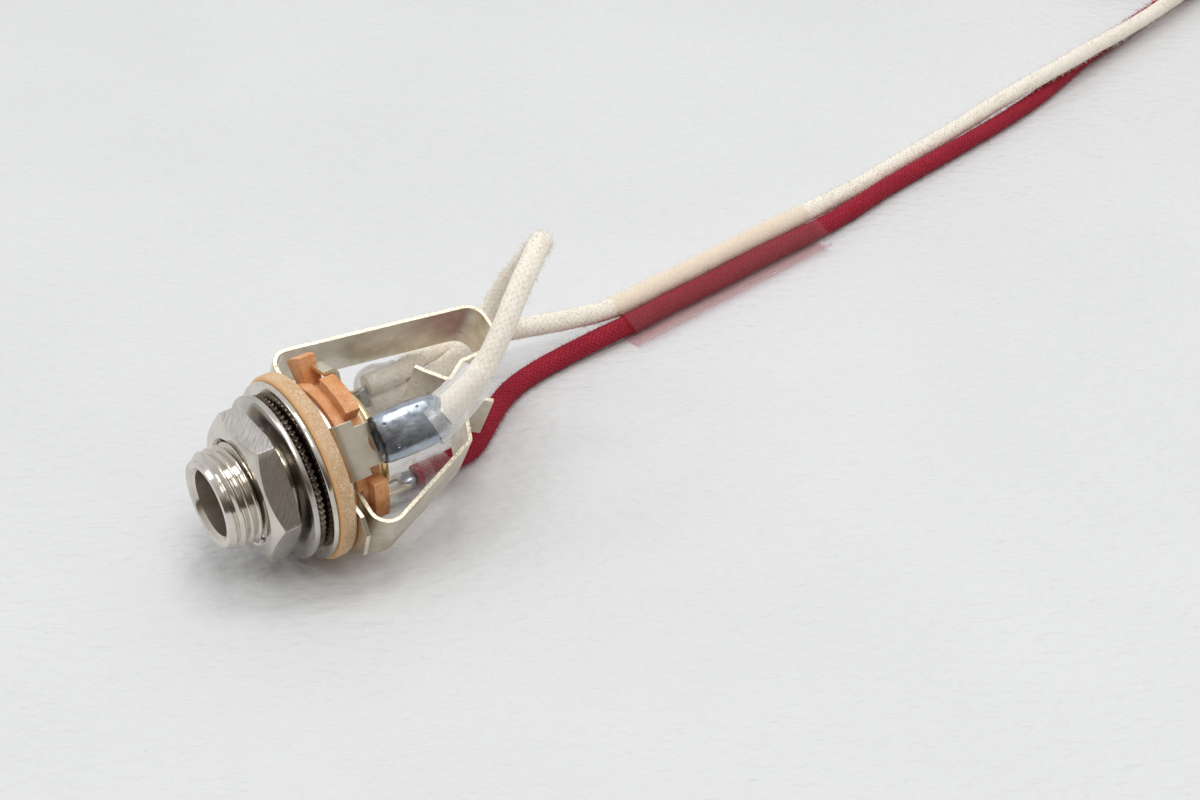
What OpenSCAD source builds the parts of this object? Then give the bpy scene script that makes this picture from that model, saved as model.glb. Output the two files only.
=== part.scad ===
// Open-frame audio jack socket with two contact springs, wired with two cloth-covered leads.
// The jack axis lies along X with the mouth at -X, and the origin is on the flange's front face.

/* [Bushing] */
// Bore that takes the plug
bore_d = 6.4; // [6.35:0.01:6.6]
// Major diameter of the bushing thread
thread_d = 9.52; // [8:0.01:11]
// Length from the mouth to the flange
thread_l = 8; // [6:0.1:14]
// Radial width of the chamfer inside the mouth
mouth_chamfer = 0.4; // [0.1:0.05:0.6]
// Bevel at the start of the thread
thread_bevel = 0.3; // [0.1:0.05:0.6]
// Diameter of the flange
flange_d = 17.2; // [14:0.1:22]
// Thickness of the flange
flange_t = 0.55; // [0.4:0.05:1.2]
// Diameter of the plain stem behind the flange
stem_d = 8; // [7.4:0.1:9]
// Diameter of the rolled lip at the rear end
lip_d = 11.2; // [9.2:0.1:11.4]
// Thickness of the rolled lip
lip_t = 1; // [0.6:0.1:1.6]

/* [Nut and washers] */
// Width of the nut across its flats
nut_af = 12.7; // [11:0.1:16]
// Thickness of the nut
nut_t = 2.6; // [2:0.1:4]
// Depth of the chamfer on the nut's corners
nut_chamfer = 0.75; // [0.3:0.05:1]
// Turn of the nut about the jack axis
nut_turn = 33; // [0:1:60]
// Pitch of the thread, which the nut climbs in one turn
thread_pitch = 0.794; // [0.5:0.001:1.5]
// Gap between the nut and the flat washer
nut_gap = 0.75; // [0.2:0.05:3]
// Diameter of the flat washer
flat_washer_d = 15.8; // [13:0.1:20]
// Thickness of the flat washer
flat_washer_t = 0.55; // [0.4:0.05:1]
// Diameter of the lock washer over its teeth
lock_washer_d = 15.2; // [13:0.1:19]
// Thickness of the lock washer
lock_washer_t = 0.5; // [0.3:0.05:0.8]
// Depth of the lock washer's teeth
lock_tooth = 0.5; // [0.3:0.05:0.9]
// Number of teeth on the lock washer
lock_teeth = 72; // [24:4:96]
// Axial play left between the washers and the flange
washer_play = 0.25; // [0.1:0.05:0.5]

/* [Insulators] */
// Diameter of the fibre washer
fibre_d = 18; // [15:0.1:22]
// Thickness of the fibre washer
fibre_t = 1.65; // [1:0.05:2.5]
// Rounding of the fibre washer's rim
fibre_round = 0.4; // [0.2:0.05:0.5]
// Thickness of the thin insulators between the terminals
thin_t = 0.2; // [0.15:0.05:0.4]
// Diameter of the thin insulators and of the terminal rings
ring_d = 13.2; // [12:0.1:14]
// Wall of the insulating collar round the stem
collar_wall = 0.7; // [0.4:0.05:0.9]
// Diameter over the wafer's blocks
wafer_d = 16.4; // [14:0.1:17]
// Diameter over the tall block beside the long spring
tall_block_d = 18.8; // [17:0.1:19]
// Thickness of the wafer at its middle
wafer_t = 2.2; // [2:0.05:4]
// Length of the wafer's blocks along the jack
block_l = 1.5; // [1:0.1:2]
// Distance of the blocks behind the wafer's front face
block_setback = 0.55; // [0.3:0.05:1]

/* [Springs and terminals] */
// Diameter of the rear washer under the rolled lip
rear_washer_d = 11.6; // [10.6:0.1:13]
// Distance of the rear washer's key tab from the axis
key_tab_h = 8.2; // [7.8:0.1:8.8]
// Width of the key tab
key_tab_w = 2.6; // [2:0.1:2.8]
// Thickness of the spring leaf and of the terminals
leaf_t = 0.45; // [0.3:0.05:0.6]
// Width of the contact springs
spring_w = 6.1; // [4:0.1:7]
// Turn of the spring pair about the jack axis
spring_roll = 27; // [0:1:90]
// Distance of the tip spring's root bend from the axis
tip_root = 10.2; // [9.6:0.1:12]
// Distance of the tip spring's rear bend behind the flange face
tip_reach = 24.1; // [22:0.1:28]
// Distance of the tip spring's rear bend from the axis
tip_rear = 7.2; // [6:0.1:9]
// Distance of the tip contact behind the flange face
tip_contact = 17.3; // [16:0.1:19]
// Distance of the ring spring's root bend from the axis
ring_root = 10.4; // [9.8:0.1:12]
// Distance of the ring spring's shoulder behind the flange face
ring_reach = 15.8; // [14:0.1:18]
// Distance of the ring spring's shoulder from the axis
ring_shoulder = 5.4; // [4.5:0.1:7]
// Gap at the flexing line of each spring
flex_gap = 0.02; // [0.01:0.01:0.05]
// Distance of the sleeve lug from the axis
sleeve_lug_h = 8.1; // [7.6:0.1:9]
// Width of the sleeve lug at its root
sleeve_lug_w = 5.2; // [4:0.1:6]
// Width of the sleeve lug's tongue
tongue_w = 3.9; // [2.5:0.1:5]
// Width of the two other solder lugs
small_lug_w = 2.2; // [1.6:0.1:2.6]

/* [Leads] */
// Diameter of the cloth-covered wire
wire_d = 2.2; // [1.6:0.1:2.4]
// Wall of the clear heat-shrink tubing
shrink_wall = 0.25; // [0.15:0.05:0.4]
// Diameter of the tinned conductor
tinned_d = 0.9; // [0.5:0.1:1.2]
// Length of the tinned end of each lead
tinned_l = 6; // [4:0.5:10]

/* [Hidden] */
$fn = 64;

// Small clearance between pieces that slip over each other
slip = 0.05;
bore_r = bore_d / 2;
thread_r = thread_d / 2;
stem_r = stem_d / 2;
ring_r = ring_d / 2;
wire_r = wire_d / 2;
floor_z = -fibre_d / 2;

// Stack behind the flange, front face of each layer
sleeve_x = flange_t + fibre_t;
front_insulator_x = sleeve_x + leaf_t;
tip_x = front_insulator_x + thin_t;
middle_insulator_x = tip_x + leaf_t;
ring_x = middle_insulator_x + thin_t;
wafer_x = ring_x + leaf_t;
rear_washer_x = wafer_x + wafer_t;
lip_x = rear_washer_x + leaf_t;
rear_x = lip_x + lip_t;
collar_r = stem_r + slip + collar_wall;

// Stack in front of the flange
lock_washer_x = -washer_play - lock_washer_t;
flat_washer_x = lock_washer_x - washer_play - flat_washer_t;
nut_x = flat_washer_x - nut_gap - nut_t;
washer_bore_r = thread_r + slip;

// Angles about the jack axis, counted from the tip spring
sleeve_lug_angle = 116;
tip_lug_angle = 248;
ring_lug_angle = 322;
ear_angle = 172;
key_angle = 48.7;
// First and last angle of each block on the wafer
tall_block_angles = [19, 38.8];
block_angles = [[58.6, 93], [142, 172], [186, 230], [266, 304]];
block_depth = 2.6;

// Solder lugs: distance from the axis and rear end
tip_lug_h = ring_r + 0.8;
tip_lug_end = tip_x + 9.95;
ring_lug_h = ring_r + 0.8;
ring_lug_end = ring_x + 8.9;
sleeve_shoulder_x = sleeve_x + 2.1;
sleeve_lug_end = sleeve_x + 9.2;
lug_bend = 0.7;
key_tab_bend = 0.5;
key_tab_front = wafer_x + 1.1;
lug_hole_gap = 1.9;
lug_hole_l = 1.5;
lug_hole_edge = 0.9;
// Ear that keeps the sleeve terminal from turning
ear_reach = 10.2;
ear_w = 5.6;
ear_cut = 1.3;

// Centre lines of the springs, as [along the jack, out from the axis]
tip_mid_x = tip_x + leaf_t / 2;
ring_mid_x = ring_x + leaf_t / 2;
tip_root_bend = 1.5;
ring_root_bend = 1.75;
tip_path = [
    [tip_mid_x, tip_root],
    [tip_reach, tip_rear],
    [tip_reach, 2.4],
    [tip_contact + 2.1, 2.3],
    [tip_contact, 0.95],
    [tip_contact - 1.65, 2.75],
    [tip_contact - 2.3, 3.6]
];
tip_bends = [tip_root_bend, 1.9, 1.6, 1.2, 0.5, 0.6];
ring_path = [
    [ring_mid_x, -ring_root],
    [ring_reach, -ring_shoulder],
    [ring_reach + 1.8, -1],
    [ring_reach + 4.2, -2.7]
];
ring_bends = [ring_root_bend, 0.7, 0.8];
// Share of the first arm at which each spring flexes
tip_flex = along(tip_path[0], tip_path[1], 2.3);
ring_flex = along(ring_path[0], ring_path[1], 3.2);

// Joint sleeve over both leads
sleeve_start = [44.5, 10.1, -6.95];
sleeve_l = 29;
sleeve_turn = 5.3;
sleeve_tilt = 34.4;
lead_pitch = wire_d + 0.1;

// Coil of the spare lead length
coil_at = [164, 42.5];
coil_r = 12;
coil_section = 4.6;
tie_t = 0.35;
tie_w = 2;
coil_bottom = floor_z + tie_t;
coil_top = coil_bottom + 4.5;
tie_angle = 60;

// Routes of the leads, chosen by hand in millimetres
white_route = [
    spot(ring_lug_end + 0.2, ring_lug_angle, ring_lug_h, lead_pitch / 2),
    spot(ring_lug_end + 2, ring_lug_angle, ring_lug_h, lead_pitch / 2),
    spot(ring_lug_end + 3.8, ring_lug_angle, ring_lug_h, lead_pitch / 2),
    [18.7, 8.8, -0.8], [21.6, 10.3, -1.7], [25, 11, -2.5], [28.6, 11.1, -3.1], [32.6, 11, -3.9],
    [36, 10.9, -4.6], [39.2, 10.9, -5.3], [42.2, 11, -5.9], [45, 11.2, -6.3], [51, 11.7, -6.3],
    [57, 12.2, -6.3], [63, 12.8, -6.3],
    [69, 13.3, -6.3], [74, 13.8, -6.4], [79, 15, -7.1], [84, 16, -7.6], [90, 17, -7.5],
    [97, 17.8, -7.2], [103, 18.5, -6.8], [109, 19.2, -6.3], [116, 19.9, -5.8], [123, 20.7, -5.6],
    [130, 21.8, -5.6], [137, 23, -5.8], [144, 24.3, -5.8], [151, 25.7, -5.6], [158, 27.4, -5.5],
    [164, 29.2, -5.4]
];
red_route = [
    spot(tip_lug_end + 0.6, tip_lug_angle, tip_lug_h),
    spot(tip_lug_end + 1.8, tip_lug_angle, tip_lug_h),
    [17.6, 0.8, -7.5], [20.8, 1.7, -7.8],
    [24.3, 4.3, -7.9], [27.1, 6.3, -7.9], [30, 7.7, -7.9], [33.6, 8.5, -7.9], [37.6, 8.9, -7.8],
    [41.4, 9, -7.6], [45, 9.2, -7.6], [51, 9.8, -7.6], [57, 10.3, -7.6], [63, 10.9, -7.6],
    [69, 11.4, -7.6], [74, 11.9, -7.7], [80, 12.7, -7.9], [88, 14, -7.9], [98, 15.4, -7.9],
    [109, 17.6, -7.9], [118.6, 19.7, -7.9], [129, 23, -7.9], [138.5, 25.3, -7.9],
    [147, 27.3, -7.9], [156, 29.1, -7.8], [164, 30.4, -7.6]
];
jumper_start = spot(sleeve_lug_end + 1, sleeve_lug_angle, sleeve_lug_h + 0.9);
jumper_route = [
    jumper_start,
    jumper_start + [2, 0, 1.1],
    jumper_start + [4.2, 0.2, 2.5],
    jumper_start + [6, 0.6, 4.1],
    [20.2, -5.9, 11.2], [22.4, -4.6, 12.8], [24.8, -3, 13.9], [27.4, -0.8, 14.1], [29.4, 1.6, 12.7],
    [30.2, 4, 10.4], [29.8, 6, 7.6], [28.9, 7.6, 4.6], [27.9, 8.5, 2], [26.4, 8.7, -0.1],
    [24.2, 8.4, -1.7], [20.6, 7.7, -2.5],
    spot(ring_lug_end + 3.8, ring_lug_angle, ring_lug_h, -lead_pitch / 2),
    spot(ring_lug_end + 2, ring_lug_angle, ring_lug_h, -lead_pitch / 2),
    spot(ring_lug_end + 0.2, ring_lug_angle, ring_lug_h, -lead_pitch / 2)
];

function unit(v) = v / norm(v);

// Point at a distance from the axis and an angle about it, then sideways
function spot(x, angle, out, across = 0) =
    let (a = angle + spring_roll)
    [x, out * cos(a) - across * sin(a), out * sin(a) + across * cos(a)];

function along(a, b, distance) = a + unit(b - a) * distance;

// Arc of radius r that rounds the corner b between a and c
function corner_arc(a, b, c, r, steps = 8) =
    let (
        to_a = unit(a - b),
        to_c = unit(c - b),
        half = acos(to_a * to_c) / 2,
        centre = b + unit(to_a + to_c) * r / sin(half),
        first = b + to_a * r / tan(half) - centre,
        side = cross(first, b + to_c * r / tan(half) - centre) > 0 ? 1 : -1,
        from = atan2(first.y, first.x),
        sweep = side * (180 - 2 * half)
    )
    [for (i = [0:steps]) centre + r * [cos(from + sweep * i / steps), sin(from + sweep * i / steps)]];

// Polyline with its inner corners rounded
function rounded(points, radii) = [
    points[0],
    for (i = [1:len(points) - 2]) each corner_arc(points[i - 1], points[i], points[i + 1], radii[i - 1]),
    points[len(points) - 1]
];

function heading(path, i) = unit(path[min(i + 1, len(path) - 1)] - path[max(i - 1, 0)]);

// Outline of a bent strip of thickness t about its centre line
function strip(path, t) =
    let (
        side = [for (i = [0:len(path) - 1]) let (h = heading(path, i)) [-h.y, h.x] * t / 2],
        last = len(path) - 1
    )
    concat([for (i = [0:last]) path[i] + side[i]], [for (i = [last:-1:0]) path[i] - side[i]]);

// Ring of a swept wire at route point i
function wire_ring(route, i, r, sides = 8) =
    let (
        h = heading(route, i),
        across = unit(cross(h, [0, 0, 1])),
        up = cross(across, h)
    )
    [for (k = [0:sides - 1]) route[i] + r * (across * cos(360 * k / sides) + up * sin(360 * k / sides))];

module wire(route, r, sides = 8) {
    last = len(route) - 1;
    points = [for (i = [0:last]) each wire_ring(route, i, r, sides)];
    walls = [
        for (i = [0:last - 1], k = [0:sides - 1])
            let (a = i * sides + k, b = i * sides + (k + 1) % sides)
            each [[a, a + sides, b + sides], [a, b + sides, b]]
    ];
    front = [for (k = [0:sides - 1]) k];
    back = [for (k = [sides - 1:-1:0]) last * sides + k];
    polyhedron(points, concat(walls, [front, back]));
}

// Turns a profile of [radius, along the jack] about the jack axis
module turned(profile) {
    rotate([90, 0, 90]) rotate_extrude() polygon(profile);
}

module disc(x, t, outer_r, inner_r) {
    turned([[inner_r, x], [outer_r, x], [outer_r, x + t], [inner_r, x + t]]);
}

// Puts a piece at its angle about the jack axis
module clocked(angle = 0) {
    rotate([spring_roll + angle, 0, 0]) children();
}

// Bent strip whose width runs across the plane of its outline, a little thinner than the ring it leaves
module leaf(path, width) {
    linear_extrude(width, center = true) polygon(strip(path, leaf_t - 0.02));
}

// Solder lug: out from the ring, then back along the jack
module lug(x, height, end, width) {
    leaf(rounded([[x, ring_r - 1.2], [x, height], [end, height]], [lug_bend]), width);
}

// Tube along X for a number of wires side by side, which are spread along Y
module shrink_bore(length, r, spread) {
    rotate([0, 90, 0]) linear_extrude(length) {
        translate([0, spread / 2]) circle(r);
        translate([0, -spread / 2]) circle(r);
        square([2 * r, max(spread, 0.01)], center = true);
    }
}

module shrink_tube(length, spread) {
    difference() {
        shrink_bore(length, wire_r + slip + shrink_wall, spread);
        translate([-1, 0, 0]) shrink_bore(length + 2, wire_r + slip, spread);
    }
}

module bushing() {
    mouth_r = bore_r + mouth_chamfer;
    front_r = thread_r - thread_bevel;
    roll = lip_t / 2;
    color("silver") {
        turned([
            [mouth_r, -thread_l], [front_r, -thread_l], [thread_r, thread_bevel - thread_l],
            [thread_r, 0], [flange_d / 2, 0], [flange_d / 2, flange_t], [stem_r, flange_t],
            [stem_r, rear_x], [bore_r, rear_x], [bore_r, mouth_chamfer - thread_l]
        ]);
        rotate([90, 0, 90]) rotate_extrude() {
            translate([lip_d / 2 - roll, lip_x + roll]) circle(roll);
            translate([bore_r, lip_x]) square([lip_d / 2 - roll - bore_r, lip_t]);
        }
    }
}

module hex_nut() {
    corner_r = nut_af / 2 / cos(30);
    front_r = nut_af / 2 - 0.25;
    rear_r = nut_af / 2 + 0.3;
    past_r = corner_r + 1;
    front_slope = nut_chamfer / (corner_r - front_r);
    rear_slope = 0.3 / (corner_r - rear_r);
    nut_end = nut_x + nut_t;
    lead_in = 0.3;
    color("silver") clocked(nut_turn) difference() {
        intersection() {
            translate([nut_x - 1, 0, 0]) rotate([90, 0, 90]) linear_extrude(nut_t + 2) circle(corner_r, $fn = 6);
            rotate([17, 0, 0]) turned([
                [0, nut_x], [front_r, nut_x], [past_r, nut_x + front_slope * (past_r - front_r)],
                [past_r, nut_end - rear_slope * (past_r - rear_r)], [rear_r, nut_end], [0, nut_end]
            ]);
        }
        rotate([17, 0, 0]) turned([
            [0, nut_x - 1], [thread_r + slip + lead_in + 1, nut_x - 1], [thread_r + slip, nut_x + lead_in],
            [thread_r + slip, nut_end - lead_in], [thread_r + slip + lead_in + 1, nut_end + 1], [0, nut_end + 1]
        ]);
    }
}

module flat_washer() {
    edge = flat_washer_t / 5;
    r = flat_washer_d / 2;
    color("gainsboro") turned([
        [washer_bore_r, flat_washer_x], [r - edge, flat_washer_x], [r, flat_washer_x + edge],
        [r, flat_washer_x + flat_washer_t - edge], [r - edge, flat_washer_x + flat_washer_t],
        [washer_bore_r, flat_washer_x + flat_washer_t]
    ]);
}

module lock_washer() {
    crest = lock_washer_d / 2;
    root = crest - lock_tooth;
    color("dimgray") translate([lock_washer_x, 0, 0]) rotate([90, 0, 90]) linear_extrude(lock_washer_t)
        difference() {
            polygon([
                for (i = [0:2 * lock_teeth - 1])
                    let (a = 180 * i / lock_teeth, r = i % 2 == 0 ? crest : root)
                    r * [cos(a), sin(a)]
            ]);
            circle(washer_bore_r);
        }
}

module fibre_washer() {
    color("burlywood") rotate([90, 0, 90]) rotate_extrude() {
        translate([stem_r + slip, flange_t]) square([fibre_d / 2 - fibre_round - stem_r - slip, fibre_t]);
        translate([stem_r + slip, flange_t + fibre_round])
            square([fibre_d / 2 - stem_r - slip, fibre_t - 2 * fibre_round]);
        for (x = [flange_t + fibre_round, flange_t + fibre_t - fibre_round])
            translate([fibre_d / 2 - fibre_round, x]) circle(fibre_round);
    }
}

// Flat ear with cut corners that stops the terminal turning
module stop_ear(x, reach, width, cut) {
    translate([x, 0, 0]) rotate([90, 0, 90]) linear_extrude(leaf_t) polygon([
        [ring_r - 1.2, -width / 2], [reach - cut, -width / 2], [reach, cut - width / 2],
        [reach, width / 2 - cut], [reach - cut, width / 2], [ring_r - 1.2, width / 2]
    ]);
}

// The sleeve lug alone, which the solder takes in too
module sleeve_lug() {
    mid_x = sleeve_x + leaf_t / 2;
    hole_r = tongue_w / 2 - lug_hole_edge;
    hole_x = sleeve_shoulder_x + lug_hole_gap;
    through = 4 * leaf_t;
    clocked(sleeve_lug_angle) difference() {
        union() {
            lug(mid_x, sleeve_lug_h, sleeve_shoulder_x, sleeve_lug_w);
            lug(mid_x, sleeve_lug_h, sleeve_lug_end, tongue_w);
        }
        for (x = [hole_x, hole_x + lug_hole_l])
            translate([x, sleeve_lug_h, 0]) rotate([90, 0, 0]) cylinder(h = through, r = hole_r, center = true);
        translate([hole_x + lug_hole_l / 2, sleeve_lug_h, 0])
            cube([lug_hole_l, through, 2 * hole_r], center = true);
    }
}

module sleeve_terminal() {
    color("lightgray") {
        disc(sleeve_x, leaf_t, ring_r, stem_r + slip);
        sleeve_lug();
        clocked(ear_angle) stop_ear(sleeve_x, ear_reach, ear_w, ear_cut);
    }
}

module front_insulator() {
    color("sienna") disc(front_insulator_x, thin_t, ring_r, collar_r + slip);
}

module middle_insulator() {
    color("sienna") disc(middle_insulator_x, thin_t, ring_r, collar_r + slip);
}

module insulating_collar() {
    color("wheat") disc(front_insulator_x, wafer_x - front_insulator_x, collar_r, stem_r + slip);
}

module tip_lug() {
    clocked(tip_lug_angle) lug(tip_mid_x, tip_lug_h, tip_lug_end, small_lug_w);
}

module tip_terminal() {
    root = [[tip_mid_x, ring_r - 1.2], tip_path[0], tip_flex];
    color("khaki") {
        disc(tip_x, leaf_t, ring_r, collar_r + slip);
        clocked() leaf(rounded(root, [tip_root_bend]), spring_w);
        tip_lug();
    }
}

module tip_spring() {
    start = along(tip_flex, tip_path[1], flex_gap);
    bends = [for (i = [1:len(tip_bends) - 1]) tip_bends[i]];
    blade = concat([start], [for (i = [1:len(tip_path) - 1]) tip_path[i]]);
    color("khaki") clocked() leaf(rounded(blade, bends), spring_w);
}

module ring_lug() {
    clocked(ring_lug_angle) lug(ring_mid_x, ring_lug_h, ring_lug_end, small_lug_w);
}

module ring_terminal() {
    root = [[ring_mid_x, 1.2 - ring_r], ring_path[0], ring_flex];
    color("khaki") {
        disc(ring_x, leaf_t, ring_r, collar_r + slip);
        clocked() leaf(rounded(root, [ring_root_bend]), spring_w);
        ring_lug();
    }
}

module ring_spring() {
    start = along(ring_flex, ring_path[1], flex_gap);
    bends = [for (i = [1:len(ring_bends) - 1]) ring_bends[i]];
    blade = concat([start], [for (i = [1:len(ring_path) - 1]) ring_path[i]]);
    color("khaki") clocked() leaf(rounded(blade, bends), spring_w);
}

// Block of the wafer between two angles
module wafer_block(first, last, outer = wafer_d / 2) {
    inner = wafer_d / 2 - block_depth;
    translate([wafer_x + block_setback, 0, 0]) rotate([90, 0, 90]) rotate([0, 0, first])
        rotate_extrude(angle = last - first) translate([inner, 0]) square([outer - inner, block_l]);
}

module keyed_wafer() {
    color("peru") clocked() {
        disc(wafer_x, wafer_t, ring_r, stem_r + slip);
        wafer_block(tall_block_angles[0], tall_block_angles[1], tall_block_d / 2);
        for (span = block_angles) wafer_block(span[0], span[1]);
    }
}

// Washer under the rolled lip, whose tab is bent forwards over a notch of the wafer
module rear_washer() {
    mid_x = rear_washer_x + leaf_t / 2;
    tab = [[mid_x, rear_washer_d / 2 - 0.6], [mid_x, key_tab_h], [key_tab_front, key_tab_h]];
    color("darkkhaki") {
        disc(rear_washer_x, leaf_t, rear_washer_d / 2, stem_r + slip);
        clocked(key_angle) leaf(rounded(tab, [key_tab_bend]), key_tab_w);
    }
}

// Solder on the sleeve lug: a rounded blob with a flat rear end
module sleeve_solder() {
    first = sleeve_shoulder_x + 1.6;
    last = jumper_route[0].x;
    r = tongue_w / 2 + 0.4;
    color("slategray") difference() {
        clocked(sleeve_lug_angle) translate([0, sleeve_lug_h + 0.7, 0]) rotate([90, 0, 90]) rotate_extrude()
            polygon([
                [0, first], [0.6 * r, first], [0.9 * r, first + 0.7], [r, first + 1.8],
                [r, last - 2.2], [0.85 * r, last - 0.8], [0.6 * r, last], [0, last]
            ]);
        sleeve_lug();
    }
}

module ring_solder() {
    first = ring_lug_end - 2;
    color("slategray") difference() {
        clocked(ring_lug_angle) translate([first, ring_lug_h, 0]) rotate([90, 0, 0])
            shrink_bore(2.2, wire_r - 0.1, lead_pitch);
        ring_lug();
    }
}

module tip_solder() {
    first = tip_lug_end - 2;
    color("slategray") difference() {
        clocked(tip_lug_angle) translate([first, tip_lug_h, 0]) rotate([0, 90, 0]) cylinder(h = 2.6, r = wire_r);
        tip_lug();
    }
}

module sleeve_shrink() {
    rise = jumper_route[2] - jumper_route[0];
    color("whitesmoke", 0.5) translate(jumper_route[0])
        rotate([0, -asin(rise.z / norm(rise)), atan2(rise.y, rise.x)]) translate([0.4, 0, 0])
        shrink_tube(norm(rise), 0);
}

module ring_shrink() {
    color("whitesmoke", 0.5) clocked(ring_lug_angle) translate([ring_lug_end - 0.8, ring_lug_h, 0])
        rotate([90, 0, 0]) shrink_tube(4.4, lead_pitch);
}

module tip_shrink() {
    color("whitesmoke", 0.5) clocked(tip_lug_angle) translate([tip_lug_end - 5.6, tip_lug_h, 0])
        shrink_tube(7.4, 0);
}

module white_jumper() {
    color("antiquewhite") wire(jumper_route, wire_r);
}

module white_lead() {
    color("antiquewhite") wire(white_route, wire_r);
}

module red_lead() {
    color("firebrick") wire(red_route, wire_r);
}

module joint_sleeve() {
    color("whitesmoke", 0.5) translate(sleeve_start) rotate([0, 0, sleeve_turn]) rotate([sleeve_tilt, 0, 0])
        shrink_tube(sleeve_l, lead_pitch);
}

module coil_ring() {
    translate([coil_at.x, coil_at.y, coil_bottom]) rotate_extrude()
        translate([coil_r - coil_section / 2, 0]) square([coil_section, coil_top - coil_bottom]);
}

module lead_coil() {
    color("indianred") coil_ring();
}

module coil_tie() {
    height = coil_top - coil_bottom;
    color("white") translate([coil_at.x, coil_at.y, coil_bottom + height / 2]) rotate([0, 0, tie_angle])
        translate([coil_r, 0, 0]) difference() {
            cube([coil_section + 4 * tie_t, tie_w, height + 2 * tie_t], center = true);
            cube([coil_section + 2 * tie_t, tie_w + 1, height], center = true);
        }
}

// Tinned end of a lead, which leaves the inside of the coil
module tinned_tip(angle, height) {
    inner = coil_r - coil_section / 2;
    translate([coil_at.x, coil_at.y, height]) rotate([0, 0, angle]) translate([inner, 0, 0])
        rotate([0, -90, -35]) cylinder(h = tinned_l, r = tinned_d / 2);
}

module white_tip() {
    color("silver") tinned_tip(200, coil_top - wire_r);
}

module red_tip() {
    color("silver") tinned_tip(170, coil_bottom + wire_r);
}

bushing();
hex_nut();
flat_washer();
lock_washer();
fibre_washer();
sleeve_terminal();
front_insulator();
tip_terminal();
tip_spring();
middle_insulator();
ring_terminal();
ring_spring();
keyed_wafer();
rear_washer();
insulating_collar();
sleeve_solder();
ring_solder();
tip_solder();
sleeve_shrink();
ring_shrink();
tip_shrink();
white_jumper();
white_lead();
red_lead();
joint_sleeve();
lead_coil();
coil_tie();
white_tip();
red_tip();
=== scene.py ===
# Looks of the jack socket: threaded nickel, bent springs, phenolic, solder, clear tube and cloth leads.
import random
from math import acos, atan2, copysign, cos, hypot, pi, radians, sin, tan

import bmesh
import bpy
from mathutils import Matrix, Vector, noise


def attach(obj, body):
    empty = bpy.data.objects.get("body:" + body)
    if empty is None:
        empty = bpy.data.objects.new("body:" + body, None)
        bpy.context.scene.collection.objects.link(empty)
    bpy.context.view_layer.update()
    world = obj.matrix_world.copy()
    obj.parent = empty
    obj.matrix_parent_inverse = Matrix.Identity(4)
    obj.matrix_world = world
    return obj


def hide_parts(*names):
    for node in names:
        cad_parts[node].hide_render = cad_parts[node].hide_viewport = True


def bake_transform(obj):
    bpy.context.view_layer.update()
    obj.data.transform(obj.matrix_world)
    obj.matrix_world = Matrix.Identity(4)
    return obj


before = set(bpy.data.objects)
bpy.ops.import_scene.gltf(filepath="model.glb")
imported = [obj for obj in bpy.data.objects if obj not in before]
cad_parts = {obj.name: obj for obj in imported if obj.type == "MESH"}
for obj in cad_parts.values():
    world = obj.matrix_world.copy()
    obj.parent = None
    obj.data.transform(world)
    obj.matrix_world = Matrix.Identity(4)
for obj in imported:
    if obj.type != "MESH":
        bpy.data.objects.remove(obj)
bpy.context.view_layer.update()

# All sizes below are in millimetres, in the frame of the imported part
MM = 0.001
ROLL = 27.0
FLOOR = -9.0
WIRE_R = 1.1
THREAD_R, PITCH = 4.76, 0.794
NUT_APOTHEM = 6.35
LEAF, LEAF_W = 0.43, 6.1
PLATE_T, PLATE_R, PLATE_ROOT, PLATE_SIDES = 0.45, 6.6, 5.4, 96
STEM_HOLE, COLLAR_HOLE = 4.05, 4.8
JOINT_FROM, JOINT_TO = 44.5, 73.4
HAIR, HAIRS_PER_MM = 0.022, 34.0
TUBE_WALL, TUBE_PLAY = 0.22, 0.04
UP, X_AXIS = Vector((0, 0, 1)), Vector((1, 0, 0))

# Outputs of the texture coordinate node
UV, OBJECT = 2, 3


# Shader values and finishes

class Value:
    """A shader socket that takes part in Python sums."""

    def __init__(self, tree, socket):
        self.tree = tree
        self.socket = socket

    def maths(self, operation, *others):
        made = self.tree.nodes.new("ShaderNodeMath")
        made.operation = operation
        for place, value in zip(made.inputs, (self,) + others):
            plug(self.tree, place, value)
        return Value(self.tree, made.outputs[0])

    def __add__(self, other):
        return self.maths("ADD", other)

    def __mul__(self, other):
        return self.maths("MULTIPLY", other)

    def __sub__(self, other):
        return self.maths("SUBTRACT", other)

    def __rsub__(self, other):
        return self.maths("MULTIPLY_ADD", -1.0, other)

    def __pow__(self, other):
        return self.maths("POWER", other)

    __radd__ = __add__
    __rmul__ = __mul__


def plug(tree, place, value):
    if isinstance(value, Value):
        tree.links.new(value.socket, place)
    elif isinstance(value, (tuple, list)) and len(value) == 3 and len(place.default_value) == 4:
        place.default_value = (*value, 1.0)
    else:
        place.default_value = value


class Nodes:
    """The shader nodes of a material or of the world."""

    def __init__(self, owner):
        owner.use_nodes = True
        self.tree = owner.node_tree

    def node(self, kind, settings=None, sockets=None, out=0):
        made = self.tree.nodes.new("ShaderNode" + kind)
        for key, value in (settings or {}).items():
            if key == "stops":
                ramp = made.color_ramp.elements
                while len(ramp) < len(value):
                    ramp.new(0.5)
                for stop, (place, colour) in zip(ramp, value):
                    stop.position = place
                    stop.color = (*colour, 1.0)
            else:
                setattr(made, key, value)
        for key, value in (sockets or {}).items():
            plug(self.tree, made.inputs[key], value)
        return Value(self.tree, made.outputs[out])

    def parts(self, vector):
        """The x, y and z of a vector."""
        split = self.node("SeparateXYZ", sockets={0: vector}).socket.node
        return [Value(self.tree, socket) for socket in split.outputs]

    def ramp(self, value, *stops):
        return self.node("ValToRGB", {"stops": stops}, {0: value})


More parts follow.
